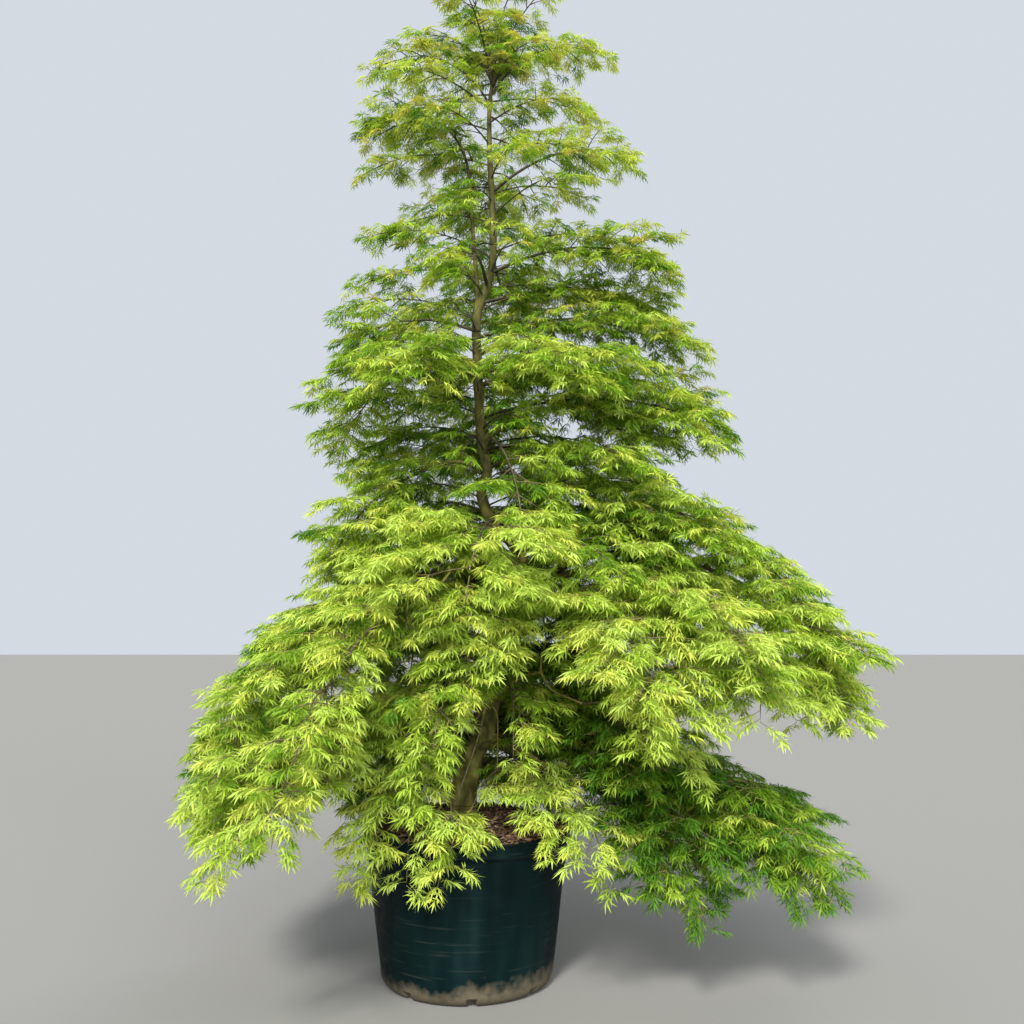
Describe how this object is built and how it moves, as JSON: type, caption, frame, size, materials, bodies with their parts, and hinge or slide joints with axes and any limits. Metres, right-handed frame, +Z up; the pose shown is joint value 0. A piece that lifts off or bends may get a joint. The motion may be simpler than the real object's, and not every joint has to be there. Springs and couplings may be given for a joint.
{
  "type": "potted laceleaf maple",
  "caption": "Tall weeping cut-leaf maple with a straight leader, a skirt of drooping foliage and a round black nursery pot, for a patio or garden scene",
  "frame": {"origin": "centre of the pot's flat underside, where it stands on the floor", "axes": "+Z up through the tree; seen from the front, which looks along +Y, +X is to the right, with the long low bough on the right"},
  "size_m": [3.1925, 2.7288, 4.4966],
  "materials": {
    "pot": "matt black nursery plastic, dusty at the foot",
    "compost": "dark damp potting compost",
    "mulch": "loose weathered bark chips",
    "bark": "olive grey bark with fine ridges",
    "bright_leaf": "thin sunlit yellow-green leaf",
    "shade_leaf": "thin deep green leaf",
    "upper_leaf": "thin olive green leaf with bronze tips"
  },
  "bodies": {
    "root": {"pot": "pot", "compost": "compost", "bark_mulch": "mulch", "trunk": "bark", "bough_right_high": "bark", "bough_right_front": "bark", "bough_front_right": "bark", "bough_front_left": "bark", "bough_left_front": "bark", "bough_left_back": "bark", "bough_back_left": "bark", "bough_back": "bark", "bough_back_right": "bark", "bough_right_low": "bark", "bough_front_right_low": "bark", "bough_front_left_low": "bark", "bough_front_hanging": "bark", "bough_leader_fork": "bark", "bough_tier_1_left": "bark", "bough_tier_1_right": "bark", "bough_tier_1_front": "bark", "bough_tier_2_left": "bark", "bough_tier_2_right": "bark", "foliage_right_shoulder": "bright_leaf", "foliage_right_front": "bright_leaf", "foliage_front_right": "bright_leaf", "foliage_front_left": "bright_leaf", "foliage_left_front": "bright_leaf", "foliage_left_back": "bright_leaf", "foliage_back_left": "bright_leaf", "foliage_back": "bright_leaf", "foliage_back_right": "bright_leaf", "foliage_right_low": "shade_leaf", "foliage_front_right_low": "shade_leaf", "foliage_front_left_low": "bright_leaf", "foliage_front_hanging": "bright_leaf", "foliage_dome_left": "bright_leaf", "foliage_dome_right": "bright_leaf", "foliage_dome_front": "bright_leaf", "foliage_tier_1_left": "upper_leaf", "foliage_tier_1_right": "upper_leaf", "foliage_tier_1_front": "upper_leaf", "foliage_tier_1_back_right": "upper_leaf", "foliage_tier_1_back_left": "upper_leaf", "foliage_tier_2_left": "upper_leaf", "foliage_tier_2_right": "upper_leaf", "foliage_tier_2_front_left": "upper_leaf", "foliage_tier_2_front_right": "upper_leaf", "foliage_tier_2_back": "upper_leaf", "foliage_tier_3_left": "upper_leaf", "foliage_tier_3_right": "upper_leaf", "foliage_tier_3_front": "upper_leaf", "foliage_tier_3_back": "upper_leaf", "foliage_tier_4_left": "upper_leaf", "foliage_tier_4_right": "upper_leaf", "foliage_tier_4_back": "upper_leaf", "foliage_top_left": "upper_leaf", "foliage_top_right": "upper_leaf", "foliage_top": "upper_leaf"}
  },
  "joints": []
}
